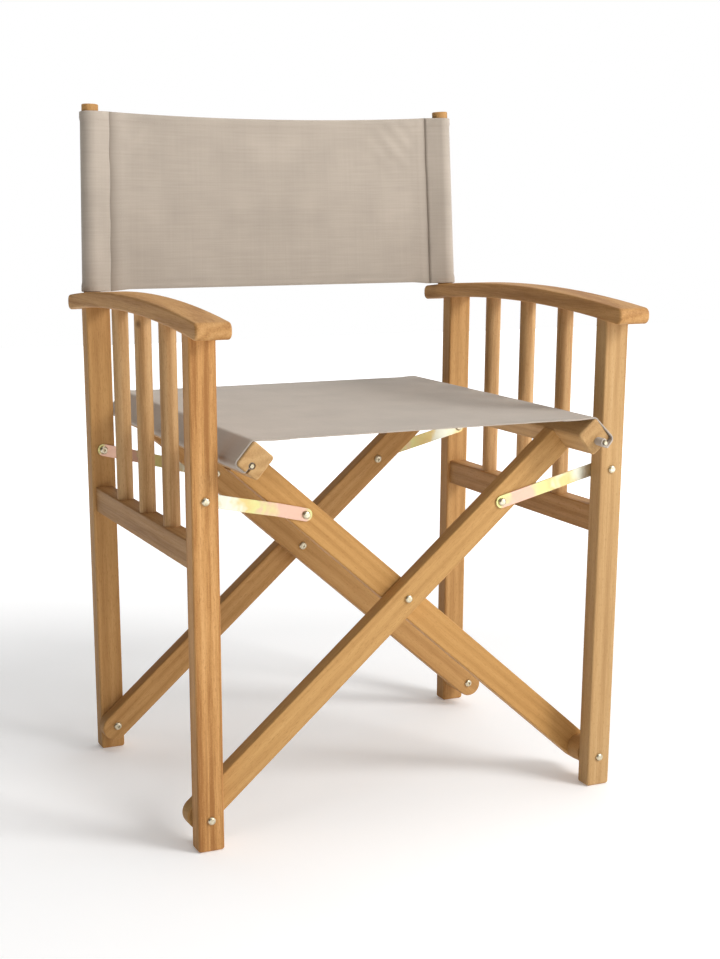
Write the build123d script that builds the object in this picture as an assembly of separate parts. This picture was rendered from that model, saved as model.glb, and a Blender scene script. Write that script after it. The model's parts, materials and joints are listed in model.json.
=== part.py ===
from build123d import *
import os
from math import atan2, cos, hypot, sin, sqrt

# Folding director chair in oiled hardwood with a canvas seat and back.
# Millimetres, +Z up, front towards -Y, +X to the right of someone who looks at the front.
# The origin is on the floor, under the middle of the chair's outline.
# Two side frames stand on the floor. A front and a rear pair of crossed legs join them, and the
# seat rails sit on the legs' upper ends. Each side frame is tied to the legs by two steel straps.
# The outer cross is the pair of legs next to the left posts, and it carries the right seat rail.
# The inner cross lies between the outer legs, and it carries the left seat rail.

# ---- side frames ----
frame_width = 580.0            # over the outer faces of the posts
frame_depth = 433.0            # over the front and rear faces of the posts
post_width = 33.0              # along X
post_depth = 24.0              # along Y
post_edge = 2.5                # rounding of the long edges
foot_edge = 4.0                # rounding under the feet

arm_crown_height = 646.0       # top of the armrest where it is highest
arm_bend_radius = 2300.0       # of the armrest's top
arm_crown_setback = 7.0        # crown behind the middle of the side frame
arm_thickness = 20.0
arm_width = 43.0
arm_outer_overhang = 4.5       # past the posts' outer faces
arm_front_overhang = 38.0      # past the front post
arm_rear_overhang = 51.5       # past the rear post
arm_nose_radius = 8.5          # rounding of the ends, seen from the side
arm_edge = 3.0

side_rail_top = 377.0
side_rail_height = 34.0
side_rail_width = 24.0
side_rail_edge = 2.0

slat_count = 3
slat_diameter = 21.0
slat_spacing = 95.0
slat_tenon = 12.0              # depth in the side rail and in the armrest

joint_dowel_diameter = 8.0     # hidden glued dowels of the side frame
joint_dowel_length = 36.0

# ---- back ----
upright_diameter = 22.0
upright_top_height = 880.0
upright_top_inset = 12.8       # axis inside the post's axis, at the top
upright_top_setback = 27.5     # axis behind the rear posts, at the top
upright_lean_in = 0.036        # towards the middle, per unit of height
upright_lean_back = 0.042      # backwards, per unit of height
upright_socket = 14.0          # depth of its hole in the armrest
upright_top_edge = 1.5

canvas = 1.2                   # thickness of the cloth
middle_gap = 0.3               # between the two halves of each cloth
bend_gap = 0.6                 # between stretches of cloth that fold on each other
back_over_arm = 1.975          # sleeve's lower edge above the armrest, where it comes nearest
back_top_height = 868.0
sleeve_slack = 1.0             # between upright and sleeve, all round
sleeve_seam_reach = 26.0       # seam from the upright's axis

# ---- crossed legs ----
foot_pivot_height = 40.0
cross_pivot_height = 279.5
leg_height = 35.5              # across the leg, in the plane of the cross
leg_thickness = 22.0           # along Y
leg_end_reach = 4.0            # centre of the round end, beyond the foot pivot
leg_edge = 2.0
post_gap = 2.4                 # between a front post and the outer leg
cross_gap = 1.2                # between outer and inner leg
side_play = 0.2                # between faces that slide on each other

# ---- seat ----
seat_rail_to_post = 49.0       # axis of the seat rail inside the axis of the post
seat_rail_along = 32.0         # section, along the leg
seat_rail_across = 34.0        # section, across the leg
seat_rail_length = 500.0
seat_rail_corner = 4.0
seat_rail_end_edge = 1.5
seat_depth = 492.0             # of the cloth, front to back
seat_hinge_inset = 3.964       # line where the seat cloth bends, inside the rail's top corner
seat_crease_reach = 80.0       # from there to the line where the cloth doubles back
keyhole_diameter = 8.6
keyhole_offset = 7.0           # from the rail's axis
keyhole_slot = 3.4
hem_rod_diameter = 5.0
hem_rod_proud_right = 18.0     # past the front end of the right rail
hem_rod_proud_left = 1.0
hem_play = 0.3                 # between the rolled hem and the keyhole

# ---- straps ----
strap_post_height = 427.5
strap_leg_reach = 171.0        # from the cross pivot, along the leg
strap_width = 16.0
strap_thickness = 2.0
joggle_start = 36.0            # from the post bolt
joggle_end = 39.5              # from the leg bolt
joggle_bend = 8.0

# ---- bolts and screws ----
bolt_diameter = 6.0
pivot_play = 0.06              # radial, where a leg or strap turns on a bolt
head_diameter = 11.0
head_height = 3.2
socket_across_flats = 4.0
socket_depth = 2.0
cap_diameter = 10.4
cap_height = 3.4
cap_barrel_diameter = 8.0
cap_barrel_length = 12.0
washer_diameter = 18.0
screw_diameter = 5.0
screw_head_diameter = 10.0
screw_head_depth = 3.0
screw_length = 62.0

# ---- places that follow from the sizes above ----
hem_rod_front = -seat_rail_length / 2 - hem_rod_proud_right
arm_back = frame_depth / 2 + arm_rear_overhang
shift = Pos(0, -(hem_rod_front + arm_back) / 2, 0)

post_x = (frame_width - post_width) / 2
front_face = -frame_depth / 2
front_post_back = front_face + post_depth
outer_leg_front = front_post_back + post_gap
outer_leg_back = outer_leg_front + leg_thickness
inner_leg_front = outer_leg_back + cross_gap
inner_leg_back = inner_leg_front + leg_thickness

leg_rise = cross_pivot_height - foot_pivot_height
leg_angle = atan2(leg_rise, post_x)
leg_lower = hypot(post_x, leg_rise)
seat_rail_x = post_x - seat_rail_to_post
leg_upper = seat_rail_x / cos(leg_angle)
seat_rail_z = cross_pivot_height + leg_upper * sin(leg_angle)

arm_bend_z = arm_crown_height - arm_bend_radius
arm_front = front_face - arm_front_overhang
arm_outer_x = frame_width / 2 + arm_outer_overhang
underside_radius = arm_bend_radius - arm_thickness
upright_top_x = post_x - upright_top_inset
upright_top_y = frame_depth / 2 + upright_top_setback
upright_rise = upright_top_height - arm_crown_height
sleeve_front = upright_top_y - upright_lean_back * upright_rise
sleeve_front -= upright_diameter / 2 + sleeve_slack + canvas
arm_run = sleeve_front - arm_crown_setback
back_bottom_height = arm_bend_z + sqrt(arm_bend_radius**2 - arm_run**2) + back_over_arm

SIDES = {"left": -1, "right": 1}


# ---- helpers ----
def on_side(shape, side):
    """The shape, which is made for the right, moved to the wanted side."""
    return shape if side > 0 else mirror(shape, about=Plane.YZ)


def front_and_rear(shape):
    """The front shape with its mirror image at the rear."""
    return [shape, mirror(shape, about=Plane.XZ)]


def span_box(x, y, z):
    """A box between pairs of limits."""
    size = Box(x[1] - x[0], y[1] - y[0], z[1] - z[0])
    return Pos((x[0] + x[1]) / 2, (y[0] + y[1]) / 2, (z[0] + z[1]) / 2) * size


def rod_along_y(x, z, y_from, y_to, diameter):
    """A round bar along Y."""
    length = y_to - y_from
    return Pos(x, (y_from + y_to) / 2, z) * Rot(90, 0, 0) * Cylinder(diameter / 2, length)


def arm_underside(y):
    """Height of the armrest's underside."""
    return arm_bend_z + sqrt(underside_radius**2 - (y - arm_crown_setback) ** 2)


def below_armrest(x_from, x_to):
    """Everything under the armrest's curved underside, between two X limits."""
    disc = Pos(0, arm_crown_setback, arm_bend_z) * Rot(0, 90, 0)
    return Pos((x_from + x_to) / 2, 0, 0) * disc * Cylinder(underside_radius, x_to - x_from)


def leg_frame(y):
    """Plane whose X runs up the right-hand leg and whose Z runs forwards, at the cross pivot."""
    return Plane(
        origin=(0, y, cross_pivot_height),
        x_dir=(cos(leg_angle), 0, sin(leg_angle)),
        z_dir=(0, -1, 0),
    )


def leg_point(along):
    """X and Z of a point on the right-hand leg's centre line."""
    return along * cos(leg_angle), cross_pivot_height + along * sin(leg_angle)


# ---- bolts, nuts and washers ----
def button_bolt(x, z, head_seat, tip):
    """A bolt along Y: its button head sits on head_seat, its shank runs forwards to tip."""
    shank = rod_along_y(x, z, tip, head_seat, bolt_diameter)
    head = rod_along_y(x, z, head_seat, head_seat + head_height, head_diameter)
    rim = head.edges().filter_by(GeomType.CIRCLE).sort_by(Axis.Y)[-1]
    head = fillet(rim, head_height * 0.8)
    socket = extrude(RegularPolygon(socket_across_flats / 2, 6, major_radius=False), socket_depth)
    socket = Pos(x, head_seat + head_height, z) * Rot(90, 0, 0) * socket
    return (shank + head) - socket


def dome(x, z, seat, diameter=cap_diameter, height=cap_height):
    """A low dome that stands forwards from seat."""
    cap = rod_along_y(x, z, seat - height, seat, diameter)
    rim = cap.edges().filter_by(GeomType.CIRCLE).sort_by(Axis.Y)[0]
    return fillet(rim, height * 0.85)


def cap_nut(x, z, seat):
    """A domed sleeve nut on a post's outer face, with a bore for the bolt."""
    barrel = rod_along_y(x, z, seat, seat + cap_barrel_length, cap_barrel_diameter)
    bore = rod_along_y(x, z, seat + cap_height / 2, seat + cap_barrel_length, bolt_diameter)
    return (dome(x, z, seat) + barrel) - bore


def ring(x, z, y_from, y_to, diameter):
    """A washer or spacer that fits a bolt."""
    disc = rod_along_y(x, z, y_from, y_to, diameter)
    return disc - rod_along_y(x, z, y_from, y_to, bolt_diameter)


def turning_hole(x, z, y_from, y_to):
    """The hole of a piece that turns on a bolt."""
    return rod_along_y(x, z, y_from, y_to, bolt_diameter + 2 * pivot_play)


# ---- side frames ----
def side_frame(side):
    """The fixed pieces of one side frame, by name, made for the right."""
    leg_front = outer_leg_front if side < 0 else inner_leg_front
    leg_back = leg_front + leg_thickness
    inner_x = post_x - post_width / 2
    outer_x = post_x + post_width / 2

    top = arm_underside(arm_crown_setback)
    post = span_box((inner_x, outer_x), (front_face, front_post_back), (0, top + 1))
    foot = fillet(post.faces().sort_by(Axis.Z)[0].edges(), foot_edge)
    post = fillet(foot.edges().filter_by(Axis.Z), post_edge)
    under = below_armrest(inner_x - 1, outer_x + 1)
    front_post = post & under
    rear_post = mirror(post, about=Plane.XZ) & under

    arm = armrest()
    rail_x = (post_x - side_rail_width / 2, post_x + side_rail_width / 2)
    rail_z = (side_rail_top - side_rail_height, side_rail_top)
    rail = span_box(rail_x, (front_post_back, -front_post_back), rail_z)
    rail = fillet(rail.edges().filter_by(Axis.Y), side_rail_edge)

    slats = []
    for number in range(slat_count):
        y = (number - (slat_count - 1) / 2) * slat_spacing
        bottom = side_rail_top - slat_tenon
        height = arm_underside(y) + slat_tenon - bottom
        slats.append(Pos(post_x, y, bottom + height / 2) * Cylinder(slat_diameter / 2, height))

    upright = back_upright()
    dowels = joint_dowels()

    pivot_cap = cap_nut(post_x, foot_pivot_height, front_face)
    pivot_bolt = button_bolt(
        post_x, foot_pivot_height, leg_back + side_play, front_face + cap_height / 2
    )
    strap_back = front_post_back + side_play + strap_thickness + side_play
    strap_cap = cap_nut(post_x, strap_post_height, front_face)
    strap_bolt = button_bolt(
        post_x, strap_post_height, strap_back, front_face + cap_height / 2
    )

    sunk = [pivot_cap, pivot_bolt, strap_cap, strap_bolt]
    for piece in sunk + dowels:
        front_post -= piece
        rear_post -= mirror(piece, about=Plane.XZ)
    for dowel in dowels:
        rail -= dowel
        rail -= mirror(dowel, about=Plane.XZ)
        arm -= dowel
        arm -= mirror(dowel, about=Plane.XZ)
    for slat in slats:
        rail -= slat
        arm -= slat
    arm -= upright

    spacer_width = washer_diameter if side < 0 else leg_height
    spacer = ring(
        post_x, foot_pivot_height, front_post_back, leg_front - side_play, spacer_width
    )
    pieces = {
        "front_post": [front_post],
        "rear_post": [rear_post],
        "armrest": [arm],
        "side_rail": [rail],
        "back_upright": [upright],
        "frame_dowels": [half for dowel in dowels for half in front_and_rear(dowel)],
        "foot_bolts": front_and_rear(pivot_bolt),
        "foot_cap_nuts": front_and_rear(pivot_cap),
        "strap_bolts": front_and_rear(strap_bolt),
        "strap_cap_nuts": front_and_rear(strap_cap),
        "foot_washers" if side < 0 else "foot_spacers": front_and_rear(spacer),
    }
    for number, slat in enumerate(slats, 1):
        pieces[f"slat_{number}"] = [slat]
    return pieces


def armrest():
    """The bent armrest, its top an arc that falls away to both ends."""
    with BuildSketch(Plane.YZ) as profile:
        with BuildLine():
            top = ThreePointArc(*[arm_arc(arm_bend_radius, y) for y in arm_arc_points()])
            low = ThreePointArc(*[arm_arc(underside_radius, y) for y in arm_arc_points()])
            Line(top @ 0, low @ 0)
            Line(top @ 1, low @ 1)
        make_face()
        fillet(profile.vertices(), arm_nose_radius)
    board = extrude(profile.sketch, arm_width)
    board = Pos(arm_outer_x - arm_width, 0, 0) * board
    return fillet(board.faces().filter_by(Axis.X).edges(), arm_edge)


def arm_arc_points():
    """Y of the armrest's two ends, with its crown between them."""
    return arm_front, arm_crown_setback, arm_back


def arm_arc(radius, y):
    """A point on an arc about the armrest's centre of bend."""
    return y, arm_bend_z + sqrt(radius**2 - (y - arm_crown_setback) ** 2)


def joint_dowels():
    """Hidden dowels at the front joints: side rail to post, and armrest to post."""
    dowels = []
    for share in (0.25, 0.75):
        z = side_rail_top - share * side_rail_height
        half = joint_dowel_length / 2
        depth = min(half, post_depth - 6)
        start = front_post_back - depth
        dowels.append(rod_along_y(post_x, z, start, start + 2 * half, joint_dowel_diameter))
    y = (front_face + front_post_back) / 2
    top = arm_underside(y) + arm_thickness * 0.6
    upright = Cylinder(joint_dowel_diameter / 2, joint_dowel_length)
    dowels.append(Pos(post_x, y, top - joint_dowel_length / 2) * upright)
    return dowels


# ---- back ----
def upright_axis(z):
    """Point of the right-hand upright's axis at a height."""
    drop = upright_top_height - z
    return (
        upright_top_x + upright_lean_in * drop,
        upright_top_y - upright_lean_back * drop,
        z,
    )


def upright_plane(z):
    """Plane across the upright at a height, its X towards the outside."""
    direction = Vector(-upright_lean_in, upright_lean_back, 1).normalized()
    outwards = (Vector(1, 0, 0) - direction * direction.X).normalized()
    return Plane(origin=upright_axis(z), x_dir=outwards, z_dir=direction)


def back_upright():
    """The round upright that stands in the armrest and holds the back cloth."""
    y = upright_axis(arm_crown_height)[1]
    foot = arm_underside(y) + arm_thickness - upright_socket
    bar = Cylinder(
        upright_diameter / 2,
        upright_top_height - foot,
        align=(Align.CENTER, Align.CENTER, Align.MIN),
    )
    bar = fillet(bar.edges().sort_by(Axis.Z)[-1], upright_top_edge)
    return upright_plane(foot) * bar


def back_half():
    """Half of the back cloth: its sleeve round the right upright and its flat panel."""
    inside = upright_diameter / 2 + sleeve_slack
    outer = make_hull(
        Circle(inside + canvas).edges() + (Pos(-sleeve_seam_reach, 0) * Circle(canvas)).edges()
    )
    tip = Pos(-sleeve_seam_reach + 3 * canvas, 0) * Circle(canvas / 4)
    inner = make_hull(Circle(inside).edges() + tip.edges())
    panel = Pos(-upright_top_x / 2 - sleeve_seam_reach / 2, 0) * Rectangle(upright_top_x, canvas)
    section = (outer + panel) - inner
    margin = 40
    height = back_top_height - back_bottom_height + 2 * margin
    cloth = extrude(upright_plane(back_bottom_height - margin) * section, height)
    keep = span_box(
        (middle_gap / 2, frame_width), (0, frame_depth), (back_bottom_height, back_top_height)
    )
    return cloth & keep


# ---- crossed legs ----
def leg(y_front):
    """A leg that rises to the right: round lower end, square upper end at the seat rail."""
    bottom = -leg_lower - leg_end_reach
    top = leg_upper - seat_rail_along / 2
    body = Pos((bottom + top) / 2, 0) * Rectangle(top - bottom, leg_height)
    round_end = Pos(bottom, 0) * Circle(leg_height / 2)
    blank = extrude(leg_frame(y_front + leg_thickness) * (body + round_end), leg_thickness)
    faces = blank.faces().filter_by(Axis.Y)
    long_edges = [e for e in faces.edges() if e.center().Z < leg_point(top)[1] - leg_edge]
    return fillet(long_edges, leg_edge)


def seat_rail_section():
    """The seat rail's section without its keyhole, in the leg's frame."""
    return RectangleRounded(seat_rail_along, seat_rail_across, seat_rail_corner)


def seat_rail_frame(y):
    """The leg's frame, moved up to the seat rail's axis."""
    x, z = leg_point(leg_upper)
    return Plane(origin=(x, y, z), x_dir=leg_frame(0).x_dir, z_dir=(0, -1, 0))


def seat_rail():
    """The seat rail, with the keyhole groove that locks the hem rod."""
    bar = extrude(seat_rail_frame(seat_rail_length / 2) * seat_rail_section(), seat_rail_length)
    ends = bar.faces().filter_by(Axis.Y).edges()
    bar = chamfer(ends, seat_rail_end_edge)
    hole = Pos(0, -keyhole_offset) * Circle(keyhole_diameter / 2)
    reach = seat_rail_across
    slot = Pos(0, -keyhole_offset - reach / 2) * Rectangle(keyhole_slot, reach)
    keyhole = extrude(seat_rail_frame(seat_rail_length) * (hole + slot), 2 * seat_rail_length)
    return bar - keyhole


def hem_rod(proud):
    """The steel rod in the rolled hem of the seat cloth."""
    x, z = keyhole_centre()
    rod = rod_along_y(
        x, z, -seat_rail_length / 2 - proud, seat_rail_length / 2, hem_rod_diameter
    )
    return chamfer(rod.edges().filter_by(GeomType.CIRCLE), 0.6)


def keyhole_centre():
    """X and Z of the keyhole's round part in the right rail."""
    at = seat_rail_frame(0).from_local_coords(Vector(0, -keyhole_offset, 0))
    return at.X, at.Z


def top_corner():
    """Centre of the rounding of the seat rail's upper outer edge, in the rail's frame."""
    return seat_rail_along / 2 - seat_rail_corner, seat_rail_across / 2 - seat_rail_corner


def top_corner_x():
    """X of that centre in the right rail. The seat cloth leaves the rail there."""
    along, across = top_corner()
    return seat_rail_x + along * cos(leg_angle) - across * sin(leg_angle)


def seat_hinge():
    """X and Z of the line where the seat cloth bends off the right rail."""
    along, across = top_corner()
    rise = along * sin(leg_angle) + across * cos(leg_angle) + seat_rail_corner
    return top_corner_x() - seat_hinge_inset, seat_rail_z + rise + canvas / 2


def seat_hem():
    """The cloth round the right rail: over its top, down its outer face and round the rod."""
    section = seat_rail_section()
    skin = offset(section, canvas) - section
    reach = 3 * seat_rail_across
    along, across = top_corner()
    above = (along + sin(leg_angle) * reach, across + cos(leg_angle) * reach)
    far = 2 * reach
    outside = [(along, across), above, (far, far), (far, -far), (canvas / 2, -far), (canvas / 2, 0)]
    wrap = skin & make_face(Polyline(*outside, close=True))
    strip_top = -keyhole_offset - hem_rod_diameter / 2 - canvas / 2
    strip_end = -seat_rail_across / 2 - canvas
    strip = Pos(0, (strip_top + strip_end) / 2) * Rectangle(2 * canvas, strip_top - strip_end)
    roll = Circle(keyhole_diameter / 2 - hem_play) - Circle(hem_rod_diameter / 2)
    roll = Pos(0, -keyhole_offset) * roll
    hem = extrude(seat_rail_frame(seat_depth / 2) * (wrap + strip + roll), seat_depth)
    return hem + seat_sheet(seat_hinge()[0] + canvas / 2 + bend_gap, top_corner_x())


def seat_sheet(x_from, x_to):
    """A flat stretch of the seat cloth between two X limits."""
    z = seat_hinge()[1]
    return span_box(
        (x_from, x_to), (-seat_depth / 2, seat_depth / 2), (z - canvas / 2, z + canvas / 2)
    )


def seat_half():
    """The right half of the seat cloth: the stretch beside the rail, then the middle one."""
    bend_x, bend_z = seat_hinge()
    crease_x = bend_x - seat_crease_reach
    half = seat_depth / 2
    beside = seat_sheet(crease_x + canvas / 2 + bend_gap, bend_x)
    middle = seat_sheet(middle_gap / 2, crease_x)
    return {
        "seat_cloth_side": beside + rod_along_y(bend_x, bend_z, -half, half, canvas),
        "seat_cloth_middle": middle + rod_along_y(crease_x, bend_z, -half, half, canvas),
    }


def rail_screw(y):
    """A countersunk screw through the seat rail into the leg's end, along the leg."""
    head = Cone(screw_diameter / 2, screw_head_diameter / 2, screw_head_depth)
    head = Pos(0, 0, -screw_head_depth / 2) * head
    shank = Pos(0, 0, -screw_length / 2) * Cylinder(screw_diameter / 2, screw_length)
    x, z = leg_point(leg_upper + seat_rail_along / 2)
    along = (cos(leg_angle), 0, sin(leg_angle))
    return Plane(origin=(x, y, z), x_dir=(0, 1, 0), z_dir=along) * (head + shank)


def cross(side):
    """The pieces of one cross frame, made for legs that rise to the right."""
    y_front = outer_leg_front if side > 0 else inner_leg_front
    y_back = y_front + leg_thickness
    strap_x, strap_z = leg_point(strap_leg_reach)
    stub = button_bolt(strap_x, strap_z, y_back, y_front)
    foot_x, foot_z = leg_point(-leg_lower)
    screw = rail_screw((y_front + y_back) / 2)

    front_leg = leg(y_front) - stub - screw
    front_leg -= turning_hole(foot_x, foot_z, y_front, y_back)
    rail = seat_rail()
    for one in front_and_rear(screw):
        rail -= one
    pivot = cross_bolt()
    if side > 0:
        front_leg -= pivot["bolt"]
        front_leg -= pivot["cap"]
    else:
        front_leg -= turning_hole(0, cross_pivot_height, y_front, y_back)
    rear_leg = mirror(front_leg, about=Plane.XZ)
    proud = hem_rod_proud_right if side > 0 else hem_rod_proud_left
    return {
        "front_leg": [front_leg],
        "rear_leg": [rear_leg],
        "seat_rail": [rail],
        "seat_rail_screws": front_and_rear(screw),
        "hem_rod": [hem_rod(proud)],
        "seat_hem": [seat_hem()],
        "strap_studs": front_and_rear(stub),
    }


def cross_bolt():
    """Bolt, cap nut and washer of the front cross pivot."""
    z = cross_pivot_height
    return {
        "bolt": button_bolt(0, z, inner_leg_back + side_play, outer_leg_front + cap_height / 2),
        "cap": cap_nut(0, z, outer_leg_front),
        "washer": ring(0, z, outer_leg_back, inner_leg_front - side_play, washer_diameter),
    }


# ---- straps ----
def strap(leg_face):
    """The front strap on the right, from the post to a leg whose front face is leg_face."""
    x_to, z_to = leg_point(strap_leg_reach)
    length = hypot(x_to - post_x, z_to - strap_post_height)
    along = Vector((x_to - post_x) / length, 0, (z_to - strap_post_height) / length)
    start = front_post_back + side_play
    step = leg_face - side_play - strap_thickness - start
    origin = (post_x, start, strap_post_height)

    reach = strap_width
    line = [(-reach, 0), (joggle_start, 0), (length - joggle_end, step), (length + reach, step)]
    back = [(s, y + strap_thickness) for s, y in reversed(line)]
    side_view = make_face(Polyline(*line, *back, close=True))
    if abs(step) > strap_thickness:
        bends = side_view.vertices().filter_by(lambda v: 0 < v.X < length)
        side_view = fillet(bends, joggle_bend)
    across = along.cross(Vector(0, 1, 0))
    strip = extrude(Plane(origin=origin, x_dir=along, z_dir=across) * side_view, reach, both=True)
    outline = Pos(length / 2, 0) * SlotCenterToCenter(length, strap_width)
    outline = Plane(origin=origin, x_dir=along, z_dir=(0, 1, 0)) * outline
    blank = strip & extrude(outline, leg_thickness * 3, both=True)
    far = strap_thickness * 3
    blank -= turning_hole(post_x, strap_post_height, start - far, start + far)
    face = start + step
    blank -= rod_along_y(x_to, z_to, face - far, face + far, bolt_diameter)
    cap = dome(x_to, z_to, face) + rod_along_y(
        x_to, z_to, face, face + strap_thickness, bolt_diameter
    )
    return {"strap": blank, "strap_stud_cap": cap}


# ---- the chair ----
def chair():
    """Every node of the chair, as name and list of solids."""
    nodes = {}
    for name, side in SIDES.items():
        for piece, solids in side_frame(side).items():
            nodes[f"{name}_{piece}"] = [on_side(s, side) for s in solids]
        nodes[f"{name}_back_cloth"] = [on_side(back_half(), side)]
        for piece, solid in seat_half().items():
            nodes[f"{name}_{piece}"] = [on_side(solid, side)]

    for name, side in (("outer", 1), ("inner", -1)):
        rail_side = "right" if side > 0 else "left"
        for piece, solids in cross(side).items():
            title = f"{rail_side}_{piece}" if "seat" in piece or "hem" in piece else f"{name}_{piece}"
            nodes[title] = [on_side(s, side) for s in solids]
    for piece, solid in cross_bolt().items():
        nodes[f"cross_{piece}s"] = front_and_rear(solid)

    for name, side in SIDES.items():
        made = strap(outer_leg_front if side > 0 else inner_leg_front)
        for piece, solid in made.items():
            front = on_side(solid, side)
            nodes[f"{name}_front_{piece}"] = [front]
            nodes[f"{name}_rear_{piece}"] = [mirror(front, about=Plane.XZ)]
    return nodes


def write(nodes):
    """One STEP file for each node, in the folder parts."""
    os.makedirs("parts", exist_ok=True)
    for name, solids in nodes.items():
        bodies = [solid for shape in solids for solid in shape.solids()]
        shape = bodies[0] if len(bodies) == 1 else Compound(bodies)
        export_step(shift * shape, f"parts/{name}.step")


if __name__ == "__main__":
    write(chair())
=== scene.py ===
"""Folding director chair: finishes for the wooden frame and steel fittings, and the sewn canvas.

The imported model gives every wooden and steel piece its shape. This script dresses those pieces, makes
the seat and the back cloth with their hems, seams and stitches, and sets up a plain studio.
"""

import json
import logging
import math
from collections.abc import Callable, Iterable, Sequence
from dataclasses import dataclass
from enum import Enum

import bmesh
import bpy
from mathutils import Matrix, Vector, noise

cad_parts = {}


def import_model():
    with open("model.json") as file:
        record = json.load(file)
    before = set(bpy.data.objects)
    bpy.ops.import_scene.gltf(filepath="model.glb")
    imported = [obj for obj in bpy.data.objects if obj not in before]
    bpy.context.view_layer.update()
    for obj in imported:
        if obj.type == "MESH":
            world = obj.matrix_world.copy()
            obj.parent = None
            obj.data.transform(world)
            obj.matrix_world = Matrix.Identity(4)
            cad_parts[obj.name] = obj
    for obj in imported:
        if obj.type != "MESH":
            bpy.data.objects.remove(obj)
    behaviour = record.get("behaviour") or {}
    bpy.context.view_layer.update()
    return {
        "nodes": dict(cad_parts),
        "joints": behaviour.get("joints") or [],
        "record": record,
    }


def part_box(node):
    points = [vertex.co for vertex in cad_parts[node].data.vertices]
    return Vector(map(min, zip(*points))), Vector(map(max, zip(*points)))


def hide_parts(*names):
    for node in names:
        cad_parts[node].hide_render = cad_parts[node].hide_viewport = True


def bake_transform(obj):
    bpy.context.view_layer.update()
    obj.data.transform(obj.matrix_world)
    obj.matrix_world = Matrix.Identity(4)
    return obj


log = logging.getLogger("director_chair")

Rgb = tuple[float, float, float]
Point = tuple[float, float, float]


class Side(Enum):
    """The two halves of the chair, as someone who looks at its front sees them."""

    LEFT = -1
    RIGHT = 1

    @property
    def word(self) -> str:
        """The side's name, as it stands in the names of pieces."""
        return self.name.lower()

    @property
    def mirror(self) -> Matrix:
        """The change from a right-hand shape to this side's."""
        return Matrix.Scale(self.value, 4, (1, 0, 0))


class Grain(Enum):
    """The direction that a board's grain runs in."""

    UPRIGHT = "upright"
    FRONT_TO_BACK = "front_to_back"
    LEG_UP_RIGHT = "leg_up_right"
    LEG_UP_LEFT = "leg_up_left"


class SeatPart(Enum):
    """The two stretches of a seat half, named after the line that each one bends across."""

    SIDE = "seat_side"
    MIDDLE = "seat_middle"


# --------------------------------------------------------------------------------------------------
# Node helpers
# --------------------------------------------------------------------------------------------------


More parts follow.
